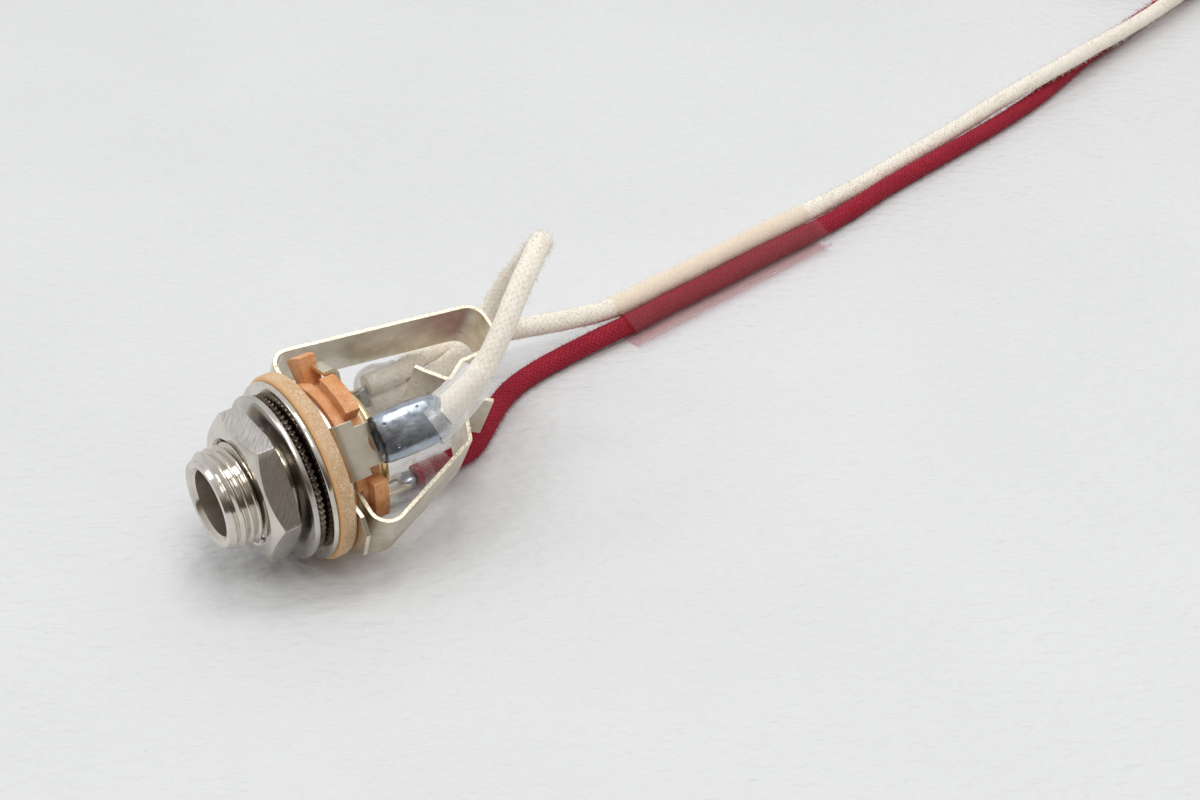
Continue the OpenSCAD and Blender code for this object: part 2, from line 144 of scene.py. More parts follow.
class Finish(Nodes):
    """One material with its shader."""

    def __init__(self, name, **shader):
        self.material = bpy.data.materials.new(name)
        super().__init__(self.material)
        self.shader = self.tree.nodes["Principled BSDF"]
        self.set(**shader)

    def set(self, **shader):
        for key, value in shader.items():
            socket = key.replace("_", " ").title().replace("Ior", "IOR")
            plug(self.tree, self.shader.inputs[socket], value)

    def scaled(self, vector, scale):
        return self.node("VectorMath", {"operation": "MULTIPLY"}, {0: vector, 1: scale})

    def place(self, scale=(1000.0, 1000.0, 1000.0)):
        """Place on the piece, in millimetres unless another scale is given."""
        return self.scaled(self.node("TexCoord", out=OBJECT), scale)

    def turned_place(self, scale):
        """Place that changes along the jack and with the distance from its axis, for turning marks."""
        x, y, z = self.parts(self.place())
        radius = (y * y + z * z) ** 0.5
        return self.node("CombineXYZ", sockets={0: x * scale, 1: radius * scale})

    def grain(self, scale, detail, roughness, vector=None):
        return self.node("TexNoise", sockets={
            "Vector": vector or self.place(), "Scale": scale, "Detail": detail, "Roughness": roughness})

    def pits(self, scale, low, high):
        """Small scattered spots, 1 in the middle of each and 0 around it."""
        cells = self.node("TexVoronoi", sockets={"Vector": self.place(), "Scale": scale})
        return self.band(cells, low, high, 1.0, 0.0)

    def band(self, value, low, high, start=0.0, end=1.0):
        return self.node("MapRange", {"interpolation_type": "SMOOTHSTEP"}, {
            0: value, 1: low, 2: high, 3: start, 4: end})

    def mix(self, share, first, second):
        return self.node("Mix", {"data_type": "RGBA"}, {0: share, 6: first, 7: second}, out=2)

    def bump(self, height, depth, strength):
        self.set(normal=self.node("Bump", sockets={
            "Height": height, "Distance": depth * MM, "Strength": strength}))


def shade(colour, share):
    return tuple(c * share for c in colour)


def polished(name, colour, dark, rough, marks, depth, drawn=False):
    """Plated metal with turning or drawing marks, a cloudy film and small specks."""
    f = Finish(name, metallic=1.0)
    if drawn:
        x, y, z = f.parts(f.place())
        around = (y * -1.0).maths("ARCTAN2", z) * NUT_APOTHEM
        marked = f.node("CombineXYZ", sockets={
            0: (around + x * 1.15) * 4.5, 1: (around - x * 0.87) * 0.35})
    else:
        marked = f.turned_place(9.0)
    turning = f.grain(1.0, 4.0, 0.7, marked)
    film = f.grain(0.35, 4.0, 0.6)
    tint = f.mix(f.band(film, 0.35, 0.75), colour, dark)
    streaks = f.band(turning, 0.46, 0.68) * (0.9 if drawn else 0.3)
    tint = f.mix(streaks, tint, shade(dark, 0.7))
    f.set(base_color=f.mix(f.pits(2.2, 0.05, 0.13) * 0.35, tint, shade(dark, 0.45)),
          roughness=rough + film * 0.10 + turning * marks)
    f.bump(turning, depth, 0.6)
    return f.material


def spring_strip(name):
    """Rolled nickel silver: warm grey, long grain, tarnish clouds, pits and grainy gold cut edges."""
    f = Finish(name, metallic=1.0)
    uv = f.node("TexCoord", out=UV)
    rolled = f.grain(1.0, 5.0, 0.7, f.scaled(uv, (1.2, 26.0, 1.0)))
    across = f.parts(uv)[1].maths("ABSOLUTE")
    cut_edge = f.band(across, LEAF_W / 2 - 0.05, LEAF_W / 2 - 0.01)
    fine = f.grain(12.0, 3.0, 0.7)
    coarse = f.grain(4.5, 3.0, 0.65)
    cloud = f.grain(0.28, 4.0, 0.6)
    pits = f.pits(0.9, 0.05, 0.11)
    tint = f.mix(f.band(cloud, 0.38, 0.66), (0.78, 0.72, 0.61), (0.58, 0.50, 0.38))
    tint = f.mix(f.band(rolled, 0.35, 0.8) * 0.4, tint, (0.80, 0.75, 0.65))
    gold = f.ramp(coarse, (0.36, (0.62, 0.52, 0.34)), (0.60, (0.94, 0.89, 0.76)))
    tint = f.mix(cut_edge, tint, gold)
    f.set(base_color=f.mix(pits * 0.7, tint, (0.16, 0.12, 0.08)),
          roughness=0.15 + cloud * 0.12 + rolled * 0.12 + fine * 0.04 + cut_edge * 0.2)
    f.bump(rolled * 0.5 + fine * 0.4 - pits + cut_edge * coarse * 2.0, 0.03, 0.5)
    return f.material


def phenolic_board(name):
    """Orange-brown board: paler cloudy skin, small grains and a satin face."""
    f = Finish(name, specular_ior_level=0.45, subsurface_weight=0.25,
               subsurface_radius=(0.0014, 0.0006, 0.0002))
    cloud = f.grain(0.55, 4.0, 0.6)
    speck = f.grain(6.5, 2.0, 0.6)
    tint = f.ramp(cloud, (0.3, (0.62, 0.24, 0.07)), (0.55, (0.76, 0.38, 0.17)), (0.75, (0.86, 0.54, 0.33)))
    tint = f.mix(f.band(speck, 0.56, 0.72) * 0.55, tint, (0.92, 0.66, 0.45))
    f.set(base_color=f.mix(f.band(speck, 0.44, 0.3) * 0.45, tint, (0.34, 0.12, 0.04)),
          roughness=0.42 + speck * 0.25)
    f.bump(speck + cloud, 0.05, 0.5)
    return f.material


def fibre_board(name):
    """Raw vulcanised fibre: tan with pale and brown grains, with painted shade and a painted amber glow
    towards the flange.
    """
    f = Finish(name, specular_ior_level=0.35, subsurface_weight=0.2,
               subsurface_radius=(0.0012, 0.0006, 0.0003))
    cloud = f.grain(0.5, 3.0, 0.6)
    speck = f.grain(5.0, 3.0, 0.65)
    tint = f.ramp(cloud, (0.3, (0.58, 0.37, 0.20)), (0.7, (0.69, 0.49, 0.31)))
    tint = f.mix(f.band(speck, 0.54, 0.66) * 0.7, tint, (0.86, 0.72, 0.56))
    tint = f.mix(f.band(speck, 0.46, 0.34) * 0.6, tint, (0.52, 0.28, 0.12))
    # Painted shade and glow: darker amber and glossier on the front face by the flange, for the flange's
    # shadow and for light through the fibre.
    flange_shade_glow = f.band(f.parts(f.place())[0], 0.95, 0.62)
    f.set(base_color=f.mix(flange_shade_glow * 0.8, tint, (0.80, 0.47, 0.20)),
          roughness=0.55 + speck * 0.3 - flange_shade_glow * 0.25)
    f.bump(speck, 0.07, 0.7)
    return f.material


def bright_solder(name):
    """Solder that froze bright: blue grey with a frosted film and pits, with painted shade near black in its
    hollow front.
    """
    f = Finish(name, metallic=1.0, coat_weight=1.0, coat_roughness=0.03)
    film = f.grain(0.7, 2.0, 0.5)
    frost = f.grain(14.0, 2.0, 0.6)
    pits = f.pits(0.75, 0.06, 0.13)
    # Painted shade: the front end, up to an uneven edge set by the film, turns near black for the shadow in
    # the hollow round the wire.
    x = f.parts(f.place())[0] + film * 0.8
    tint = f.ramp(film, (0.35, (0.30, 0.34, 0.40)), (0.65, (0.44, 0.48, 0.54)))
    tint = f.mix(f.band(x, 6.5, 6.3), tint, (0.05, 0.055, 0.07))
    f.set(base_color=f.mix(pits * 0.8, tint, (0.05, 0.05, 0.055)),
          roughness=0.16 + film * 0.16 + frost * 0.1)
    f.bump(film * 1.8 + frost * 0.1 - pits, 0.09, 0.7)
    return f.material


def clear_tube(name, haze, edge_share, red_glow_height=None):
    """Clear shrink tubing: see-through when faced, milky towards its edges, with painted pink light from the
    red lead below a given height.
    """
    f = Finish(name, base_color=(0.97, 0.965, 0.95), specular_ior_level=1.0)
    patch = f.grain(0.7, 3.0, 0.5)
    edge = f.node("LayerWeight", sockets={"Blend": 0.4}, out=1) ** 1.5
    veil = haze + f.band(patch, 0.5, 0.75) * haze + edge * edge_share
    if red_glow_height is not None:
        # Painted light: pink and less clear below that height, for red light passed on by the red lead inside.
        low = f.band(f.parts(f.place())[2], red_glow_height + 0.3, red_glow_height - 0.3)
        f.set(base_color=f.mix(low, (0.97, 0.97, 0.965), (0.75, 0.30, 0.32)))
        veil = veil + low * 0.2
    f.set(alpha=veil, roughness=0.03 + f.band(patch, 0.4, 0.8) * 0.10)
    f.bump(patch, 0.2, 0.5)
    f.material.surface_render_method = "BLENDED"
    return f.material


def braided_cloth(name, pale, mid, gap_shade_and_cloud, sleeved, strands, sheen, contrast):
    """Cotton braid: two families of yarn that cross over and under, with painted shade in the gaps between
    yarns and painted light on their crowns, darker in the joint sleeve.
    """
    f = Finish(name, specular_ior_level=0.15, sheen_weight=sheen, sheen_roughness=0.6, sheen_tint=pale)
    around, along, _ = f.parts(f.node("TexCoord", out=UV))
    wander = f.grain(1.8, 3.0, 0.6) - 0.5
    right = around * strands + along * (strands * 0.145) + wander * 1.1
    left = around * strands - along * (strands * 0.145) - wander * 0.9
    over = (right.maths("FLOOR") + left.maths("FLOOR")) * 0.5
    over = over.maths("FRACT") * 2.0
    crown_r, crown_l = (1.0 - ((yarn.maths("FRACT") - 0.5) * 2.0) ** 2.0 for yarn in (right, left))
    weave = crown_r * over + crown_l * (1.0 - over)
    yarn_r, yarn_l = (
        f.grain(1.0, 3.0, 0.6, f.node("CombineXYZ", sockets={0: first * 3.2, 1: second * 0.7, 2: layer}))
        for first, second, layer in ((right, left, 0.0), (left, right, 9.0)))
    yarn = yarn_r * over + yarn_l * (1.0 - over)
    fibre = f.grain(13.0, 3.0, 0.7) * 0.5 + yarn * 0.5
    cloud = f.grain(0.3, 3.0, 0.6)
    # Painted shade and light: the deep colour fills the gaps between yarns and the pale one their crowns,
    # mixed with random fibre tone.
    tint = f.mix(f.band(weave * contrast + fibre * (1.0 - contrast), 0.12, 0.62), gap_shade_and_cloud, mid)
    tint = f.mix(f.band(fibre * 0.7 + weave * 0.35, 0.5, 0.85), tint, pale)
    x = f.parts(f.place())[0]
    inside = (f.band(x, JOINT_FROM - 0.2, JOINT_FROM + 0.3)
              * f.band(x, JOINT_TO + 0.2, JOINT_TO - 0.3))
    tint = f.mix(f.band(cloud, 0.45, 0.75) * 0.25, tint, gap_shade_and_cloud)
    f.set(base_color=f.mix(inside * 0.5, tint, sleeved), roughness=0.85,
          coat_weight=inside * 0.06, coat_roughness=0.12)
    f.bump((weave * contrast + fibre * 0.6) * (1.0 - inside * 0.3), 0.12, 0.7)
    return f.material


def plain(name, colour, rough, metallic=0.0):
    """One colour with a faint speck."""
    f = Finish(name, metallic=metallic)
    speck = f.grain(3.0, 3.0, 0.6)
    f.set(base_color=f.mix(f.band(speck, 0.3, 0.7), shade(colour, 0.86), colour),
          roughness=rough + speck * 0.1)
    f.bump(speck, 0.03, 0.4)
    return f.material


NICKEL = polished("nickel", (0.73, 0.69, 0.63), (0.56, 0.51, 0.44), 0.04, 0.08, 0.006)
BORE = polished("bore_nickel", (0.72, 0.65, 0.57), (0.46, 0.40, 0.33), 0.24, 0.22, 0.030)
NUT_NICKEL = polished("nut_nickel", (0.72, 0.69, 0.65), (0.58, 0.54, 0.49), 0.08, 0.20, 0.04, True)
WASHER_STEEL = polished("washer_steel", (0.62, 0.59, 0.55), (0.42, 0.38, 0.33), 0.12, 0.14, 0.010)
# Dark brown for the toothed washer is painted shade of the narrow gap between the flat washer and the flange.
SHADED_TOOTH_STEEL = polished("tooth_steel", (0.34, 0.29, 0.24), (0.16, 0.13, 0.10), 0.26, 0.16, 0.010)
LIP_BRASS = polished("lip_brass", (0.86, 0.70, 0.40), (0.66, 0.50, 0.26), 0.14, 0.10, 0.006)
BRASS_PLATE = polished("brass_plate", (0.80, 0.74, 0.60), (0.62, 0.52, 0.32), 0.20, 0.12, 0.008)
SPRING = spring_strip("nickel_silver")
PHENOLIC = phenolic_board("phenolic")
FIBRE = fibre_board("fibre")
SOLDER = bright_solder("solder")
CLEAR = clear_tube("clear_tube", 0.03, 0.7)
MILKY = clear_tube("milky_tube", 0.12, 0.85)
# The last figure is the height below which the sleeve gets the painted pink light of the red lead.
SLEEVE_CLEAR = clear_tube("clear_sleeve", 0.003, 0.12, -7.9)
# Cloth colours: pale for the painted light on yarn crowns, mid, deep for painted shade between yarns and for
# random clouds, and the colour in the joint sleeve.
WHITE_CLOTH = braided_cloth(
    "white_cloth", (0.97, 0.93, 0.85), (0.95, 0.88, 0.78), (0.79, 0.66, 0.49), (0.72, 0.55, 0.35),
    10.0, 0.4, 0.36)
RED_CLOTH = braided_cloth(
    "red_cloth", (0.46, 0.04, 0.065), (0.28, 0.012, 0.028), (0.13, 0.004, 0.010), (0.17, 0.0, 0.003),
    12.0, 0.2, 0.2)
WHITE_FIBRE = plain("white_fibre", (0.97, 0.92, 0.83), 0.85)
RED_FIBRE = plain("red_fibre", (0.48, 0.045, 0.07), 0.85)
TINNED = plain("tinned_copper", (0.66, 0.64, 0.60), 0.3, 1.0)
TIE = plain("tie_plastic", (0.80, 0.80, 0.78), 0.5)


# Shapes

def turn(angle, x, out, across=0.0):
    """Point at an angle about the jack axis counted from the far spring, out from the axis and sideways."""
    a = radians(angle + ROLL)
    return (x, out * cos(a) - across * sin(a), out * sin(a) + across * cos(a))


def placed(name, data):
    obj = bpy.data.objects.new(name, data)
    bpy.context.scene.collection.objects.link(obj)
    return obj


def modify(obj, name, kind, **settings):
    made = obj.modifiers.new(name, kind)
    for key, value in settings.items():
        setattr(made, key, value)


def piece(name, verts, faces, finish, nodes=(), slot=None, body="socket",
          sharp=35.0, uvs=None, bevel=0.0, smooth=0):
    """Mesh from points in millimetres, with its finish, set on its body in place of its nodes."""
    mesh = bpy.data.meshes.new(name)
    mesh.from_pydata([(x * MM, y * MM, z * MM) for x, y, z in verts], [], faces)
    if uvs:
        layer = mesh.uv_layers.new(name="UVMap")
        for loop in mesh.loops:
            layer.data[loop.index].uv = uvs[loop.vertex_index]
    work = bmesh.new()
    work.from_mesh(mesh)
    bmesh.ops.remove_doubles(work, verts=work.verts, dist=1e-7)
    bmesh.ops.dissolve_degenerate(work, edges=work.edges, dist=1e-7)
    bmesh.ops.recalc_face_normals(work, faces=work.faces)
    work.to_mesh(mesh)
    work.free()
    mesh.shade_smooth()
    mesh.set_sharp_from_angle(angle=radians(sharp))
    mesh.materials.append(finish)
    obj = placed(name, mesh)
    if bevel:
        modify(obj, "edge", "BEVEL", width=bevel * MM, segments=2, limit_method="ANGLE",
               angle_limit=radians(40), harden_normals=True)
    if smooth:
        modify(obj, "round", "SUBSURF", levels=smooth, render_levels=smooth)
    if body:
        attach(obj, body)
    if nodes:
        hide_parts(*nodes)
    return obj


def shells(*parts):
    """Several vertex and face lists as one."""
    verts, faces = [], []
    for part_verts, part_faces in parts:
        start = len(verts)
        verts += part_verts
        faces += [tuple(i + start for i in face) for face in part_faces]
    return verts, faces


def also(obj, finish, test):
    """Second finish on the faces whose centre in millimetres and normal pass the test."""
    obj.data.materials.append(finish)
    for face in obj.data.polygons:
        if test(face.center / MM, face.normal):
            face.material_index = len(obj.data.materials) - 1


def loft(rows, count, closed=False):
    """Faces over rows of points: joined end to end, or else with a cap at each end."""
    faces = []
    for i in range(rows if closed else rows - 1):
        j = (i + 1) % rows
        for k in range(count):
            n = (k + 1) % count
            faces.append((i * count + k, i * count + n, j * count + n, j * count + k))
    if not closed:
        faces += [tuple(range(count - 1, -1, -1)), tuple((rows - 1) * count + k for k in range(count))]
    return faces


def lathe(profile, count=128):
    """Closed ring of the profile's points, each a radius and a place along the jack."""
    verts = []
    for r, x in profile:
        for i in range(count):
            a = 2 * pi * i / count
            verts.append((x, r * cos(a), r * sin(a)))
    return verts, loft(len(profile), count, True)


def blunt(value, power):
    """Power of a sine or cosine that keeps its sign, for squarer rounds."""
    return copysign(abs(value) ** power, value)


def arc(centre, radius, first, last, steps):
    return [(centre[0] + radius * cos(radians(first + (last - first) * i / steps)),
             centre[1] + radius * sin(radians(first + (last - first) * i / steps)))
            for i in range(steps + 1)]


def disc(x, t, outer, inner, ease=0.0, steps=3):
    """Ring profile with an eased outer rim."""
    if not ease:
        return [(inner, x), (outer, x), (outer, x + t), (inner, x + t)]
    return ([(inner, x)] + arc((outer - ease, x + ease), ease, -90, 0, steps)
            + arc((outer - ease, x + t - ease), ease, 0, 90, steps) + [(inner, x + t)])


def bent(points, radii, step=0.5):
    """Polyline in the plane with rounded corners and evenly cut straights."""
    corner_steps = 9
    points = [Vector(p) for p in points]
    line = [points[0]]
    for i in range(1, len(points) - 1):
        a, b, c, r = points[i - 1], points[i], points[i + 1], radii[i - 1]
        to_a, to_c = (a - b).normalized(), (c - b).normalized()
        half = acos(max(-1.0, min(1.0, to_a.dot(to_c)))) / 2
        centre = b + (to_a + to_c).normalized() * r / sin(half)
        first = b + to_a * r / tan(half) - centre
        last = b + to_c * r / tan(half) - centre
        sweep = pi - 2 * half
        sweep *= 1 if first.x * last.y - first.y * last.x > 0 else -1
        begin = atan2(first.y, first.x)
        for k in range(corner_steps + 1):
            spin = begin + sweep * k / corner_steps
            line.append(centre + r * Vector((cos(spin), sin(spin))))
    line.append(points[-1])
    even = [line[0]]
    for a, b in zip(line, line[1:]):
        parts = max(1, int((b - a).length / step))
        even += [a.lerp(b, k / parts) for k in range(1, parts + 1)]
    return even


def heading(line, i):
    """Direction of a line at one of its points."""
    return (line[min(i + 1, len(line) - 1)] - line[max(i - 1, 0)]).normalized()


def strip(path, width, angle):
    """Bent strip of leaf metal; path points are along the jack and out from it."""
    verts, uvs = [], []
    length = 0.0
    for i, p in enumerate(path):
        ahead = heading(path, i)
        side = Vector((-ahead.y, ahead.x)) * LEAF / 2
        half = width / 2
        length += (p - path[i - 1]).length if i else 0.0
        for sign, w in ((1, -half), (1, half), (-1, half), (-1, -half)):
            q = p + side * sign
            verts.append(turn(angle, q.x, q.y, w))
            uvs.append((length, w))
    return verts, loft(len(path), 4), uvs


def smooth_line(points, step):
    """Even points on a smooth curve through the given ones."""
    points = [Vector(p) for p in points]
    ends = [2 * points[0] - points[1]] + points + [2 * points[-1] - points[-2]]
    fine = []
    for i in range(1, len(ends) - 2):
        p0, p1, p2, p3 = ends[i - 1:i + 3]
        d1, d2, d3 = (max((b - a).length, 1e-6) ** 0.5 for a, b in ((p0, p1), (p1, p2), (p2, p3)))
        m1 = ((p1 - p0) / d1 - (p2 - p0) / (d1 + d2) + (p2 - p1) / d2) * d2
        m2 = ((p2 - p1) / d2 - (p3 - p1) / (d2 + d3) + (p3 - p2) / d3) * d2
        for k in range(24):
            t = k / 24
            fine.append((2 * t ** 3 - 3 * t ** 2 + 1) * p1 + (t ** 3 - 2 * t ** 2 + t) * m1
                        + (3 * t ** 2 - 2 * t ** 3) * p2 + (t ** 3 - t ** 2) * m2)
    fine.append(points[-1])
    lengths = [(b - a).length for a, b in zip(fine, fine[1:])]
    total = sum(lengths)
    count = max(2, round(total / step))
    even, gone, i = [fine[0]], 0.0, 0
    for n in range(1, count):
        want = total * n / count
        while gone + lengths[i] < want:
            gone += lengths[i]
            i += 1
        even.append(fine[i].lerp(fine[i + 1], (want - gone) / lengths[i]))
    return even + [fine[-1]], total


def frames(line):
    """Tangent and two cross directions along a line, without twist."""
    out = []
    across = None
    for i, p in enumerate(line):
        ahead = heading(line, i)
        if across is None:
            across = ahead.cross(UP).normalized()
        across = (across - ahead * across.dot(ahead)).normalized()
        out.append((p, ahead, across, across.cross(ahead)))
    return out


def tube(line, radius, sides, wobble=0.0, seed=0):
    """Round wire along a line; the UV runs once round and in millimetres along."""
    verts, faces, uvs = [], [], []
    gone = 0.0
    for i, (p, _, across, up) in enumerate(frames(line)):
        gone += (p - line[i - 1]).length if i else 0.0
        for k in range(sides + 1):
            a = 2 * pi * (k % sides) / sides
            r = radius(gone, p) if callable(radius) else radius
            if wobble:
                spin = Vector((cos(a) * 0.9, sin(a) * 0.9, gone * 0.45 + seed))
                r += wobble * noise.noise(spin)
            verts.append(tuple(p + (across * cos(a) + up * sin(a)) * r))
            uvs.append((k / sides, gone))
    row = sides + 1
    for i in range(len(line) - 1):
        for k in range(sides):
            faces.append((i * row + k, i * row + k + 1, (i + 1) * row + k + 1, (i + 1) * row + k))
    faces.append(tuple(range(sides - 1, -1, -1)))
    faces.append(tuple((len(line) - 1) * row + k for k in range(sides)))
    return verts, faces, uvs


# Camera at the photograph's place

def add_camera():
    azimuth, elevation, tilt = radians(-125.67), radians(37.0), radians(-0.34)
    flat = cos(elevation)
    back = Vector((flat * cos(azimuth), flat * sin(azimuth), sin(elevation)))
    right = (-back).cross(UP).normalized()
    up = right.cross(-back)
    right, up = (cos(tilt) * right + sin(tilt) * up,
                 -sin(tilt) * right + cos(tilt) * up)
    data = bpy.data.cameras.new("camera")
    data.sensor_width = 36.0
    data.lens = 60.0
    data.clip_start = 0.005
    camera = placed("camera", data)
    turned = Matrix((right, up, back)).transposed().to_4x4()
    turned.translation = Vector((-59.10, -131.03, 114.10)) * MM
    camera.matrix_world = turned
    bpy.context.scene.camera = camera


add_camera()


# Cloth-covered leads, on the routes of the solids

RING_LUG, TIP_LUG, SLEEVE_LUG = 322.0, 248.0, 116.0
LUG_OUT, SLEEVE_OUT = 7.4, 8.1
LEAD_PITCH = 2.3
COIL = (164.0, 42.5)
COIL_OUTER, COIL_INNER = 13.15, 10.85
WHITE_LEVEL, RED_LEVEL = -5.27, -7.55


def coil_turns(height, first, last, entry):
    """Two turns on one level: round the outside, a step in, then round the inside to the lead's end."""
    points = []
    for degrees in range(first, last + 1, 12):
        inward = max(0.0, min(1.0, (degrees - 285) / 60))
        inward = inward * inward * (3 - 2 * inward)
        r = COIL_OUTER + (COIL_INNER - COIL_OUTER) * inward
        settle = max(0.0, 1 - (degrees - first) / 60)
        r += (entry - COIL_OUTER) * settle * settle
        leave = max(0.0, (degrees - last + 26) / 26)
        r -= 0.9 * leave * leave
        a = radians(degrees - 90)
        points.append((COIL[0] + r * cos(a), COIL[1] + r * sin(a), height))
    return points


white_route = [turn(RING_LUG, x, LUG_OUT, LEAD_PITCH / 2) for x in (12.6, 14.4, 16.2)] + [
    (18.7, 8.8, -0.8), (21.6, 10.3, -1.7), (25, 11, -2.5), (28.6, 11.1, -3.1), (32.6, 11, -3.9),
    (36, 10.9, -4.6), (39.2, 10.9, -5.3), (42.2, 11, -5.9), (45, 11.2, -6.3), (51, 11.7, -6.3),
    (57, 12.2, -6.3), (63, 12.8, -6.3), (69, 13.3, -6.3), (74, 13.8, -6.4), (79, 15, -7.1),
    (84, 16, -7.6), (90, 17, -7.5), (97, 17.8, -7.2), (103, 18.5, -6.8), (109, 19.2, -6.3),
    (116, 19.9, -5.8), (123, 20.7, -5.6), (130, 21.8, -5.6), (137, 23, -5.8), (144, 24.3, -5.8),
    (151, 25.7, -5.6), (158, 27.4, -5.4)] + coil_turns(WHITE_LEVEL, 6, 650, 13.3)
red_route = [turn(TIP_LUG, x, LUG_OUT) for x in (13.4, 14.6)] + [
    (17.6, 0.8, -7.5), (20.8, 1.7, -7.8), (24.3, 4.3, -7.9), (27.1, 6.3, -7.9), (30, 7.7, -7.9),
    (33.6, 8.5, -7.9), (37.6, 8.9, -7.8), (41.4, 9, -7.6), (45, 9.2, -7.6), (51, 9.8, -7.6),
    (57, 10.3, -7.6), (63, 10.9, -7.6), (69, 11.4, -7.6), (74, 11.9, -7.7), (80, 12.9, -7.9),
    (88, 14.5, -7.9), (98, 15.9, -7.9), (109, 17.6, -7.9), (118.6, 19.7, -7.9), (129, 23, -7.9),
    (138.5, 25.3, -7.9), (147, 27.3, -7.9), (156, 29.1, -7.8)] + coil_turns(RED_LEVEL, 8, 620, 12.2)
JUMPER_START = Vector(turn(SLEEVE_LUG, 12.4, 9.0))
jumper_route = [tuple(JUMPER_START + Vector(v)) for v in (
    (0, 0, 0), (2, 0, 1.1), (4.2, 0.2, 2.5), (6, 0.6, 4.1))] + [
    (20.2, -5.9, 11.2), (22.4, -4.6, 12.8), (24.8, -3, 13.9), (27.4, -0.8, 14.1), (29.4, 1.6, 12.7),
    (30.2, 4, 10.4), (29.8, 6, 7.6), (28.9, 7.6, 4.6), (27.9, 8.5, 2), (26.4, 8.7, -0.1),
    (24.2, 8.4, -1.7), (20.6, 7.7, -2.5)] + [
    turn(RING_LUG, x, LUG_OUT, -LEAD_PITCH / 2) for x in (16.2, 14.4, 12.6)]


def fuzz(name, line, finish, seed):
    """Loose fibre ends that stand off the cloth, as closed slivers."""
    draw = random.Random(seed)
    verts, faces = [], []
    step = (line[1] - line[0]).length
    for p, ahead, across, up in frames(line)[3:-3]:
        for _ in range(int(HAIRS_PER_MM * step + draw.random())):
            a = draw.uniform(0, 2 * pi)
            out = across * cos(a) + up * sin(a)
            side = ahead.cross(out)
            lean = ahead * draw.uniform(-1, 1) + side * draw.uniform(-1, 1)
            root = p + out * (WIRE_R - 0.05) + ahead * draw.uniform(-0.5, 0.5) * step
            length = draw.uniform(0.2, 0.62) * (1.6 if draw.random() < 0.08 else 1.0)
            tip = root + (out * draw.uniform(0.25, 1.0) + lean * 0.8).normalized() * length
            if min(root.z, tip.z) < FLOOR + 0.05:
                continue
            start = len(verts)
            verts += [tuple(root + side * HAIR), tuple(root - side * HAIR + ahead * HAIR),
                      tuple(root - side * HAIR - ahead * HAIR), tuple(tip)]
            faces.append((start, start + 1, start + 2))
            faces += [(start + k, start + (k + 1) % 3, start + 3) for k in range(3)]
    return piece(name, verts, faces, finish, sharp=180.0)


def lead(name, route, finish, slot, nodes, seed, flare=0.0):
    """Cord with its loose fibre: flared at its first end, fuller in the joint sleeve and thinner past it."""
    line, length = smooth_line(route, 0.5)

    def radius(gone, p):
        flared = flare * max(0.0, 1 - gone / 6.5) ** 0.7
        fuller = 0.1 if JOINT_FROM + 0.5 < p.x < JOINT_TO - 0.4 else 0.0
        thinner = 0.1 * max(0.0, min(1.0, (p.x - 74) / 30))
        return WIRE_R - 0.03 + flared + fuller - thinner

    verts, faces, uvs = tube(line, radius, 22, 0.05, seed)
    wire = piece(name, verts, faces, finish, nodes, slot, uvs=uvs, sharp=60.0)
    hairs = fuzz(name + "_fuzz", line, WHITE_FIBRE if finish is WHITE_CLOTH else RED_FIBRE, seed)
    tuple(line[0] * MM)
    length * MM
    [tuple(p * MM) for p in line]
    return line


# Clear tubes

def stadium(spread, r):
    """Outline round two wires side by side, or round one where there is no spread."""
    last = 11
    right = []
    for k in range(last + 1):
        a = pi * (k / last - 0.5)
        right.append((spread / 2 + r * cos(a), r * sin(a)))
    return right + [(-x, -y) for x, y in right]


def rippled(outline, depth, at):
    """Outline with soft dents that change with the place along the tube."""
    pushes = [1 + depth * noise.noise(Vector((x, y, at))) for x, y in outline]
    return [(x * push, y * push) for (x, y), push in zip(outline, pushes)]


def slackened(outline, side, rise):
    """Outline drawn out on one side, more the further out a point lies there."""
    return [(x + side * max(0.0, -x / 2.5), y + rise * max(0.0, -x / 2.5)) for x, y in outline]


def sleeve(sections):
    """Closed tube wall, flat where it rests on the table.

    A section is a centre, two cross directions, an outer and an inner outline."""
    verts, faces = [], []
    count = len(sections[0][3])
    for centre, across, up, outer, inner in sections:
        for outline, lift in ((outer, 0.02), (inner, 0.2)):
            for x, y in outline:
                spot = centre + across * x + up * y
                spot.z = max(spot.z, FLOOR + lift)
                verts.append(tuple(spot))
    row = 2 * count
    last = len(sections) - 1
    for i in range(last + 1):
        for k in range(count):
            n = (k + 1) % count
            a, b, c, d = (i * row + place for place in (k, n, count + n, count + k))
            if i < last:
                faces += [(a, b, b + row, a + row), (c, d, d + row, c + row)]
            if i == 0:
                faces.append((a, b, c, d))
            if i == last:
                faces.append((d, c, b, a))
    return verts, faces


def straight_tube(start, ahead, across, length, spread, swell, steps, seed, pinch=None, slack=None):
    """Tube over one or two wires.

    Swell gives the extra radius along it, pinch narrows its width, and slack draws one side out."""
    up = ahead.cross(across)
    sections = []
    for i in range(steps + 1):
        share = i / steps
        wide = spread * (pinch(share) if pinch else 1.0)
        extra = swell(share)
        outer = stadium(wide, WIRE_R + TUBE_PLAY + TUBE_WALL + extra)
        outer = rippled(outer, 0.03, share * length * 0.6 + seed)
        inner = stadium(wide, WIRE_R + TUBE_PLAY + extra)
        if slack:
            outer, inner = (slackened(line, slack.dot(across), slack.dot(up)) for line in (outer, inner))
        sections.append((start + ahead * (length * share), across, up, outer, inner))
    return sleeve(sections)


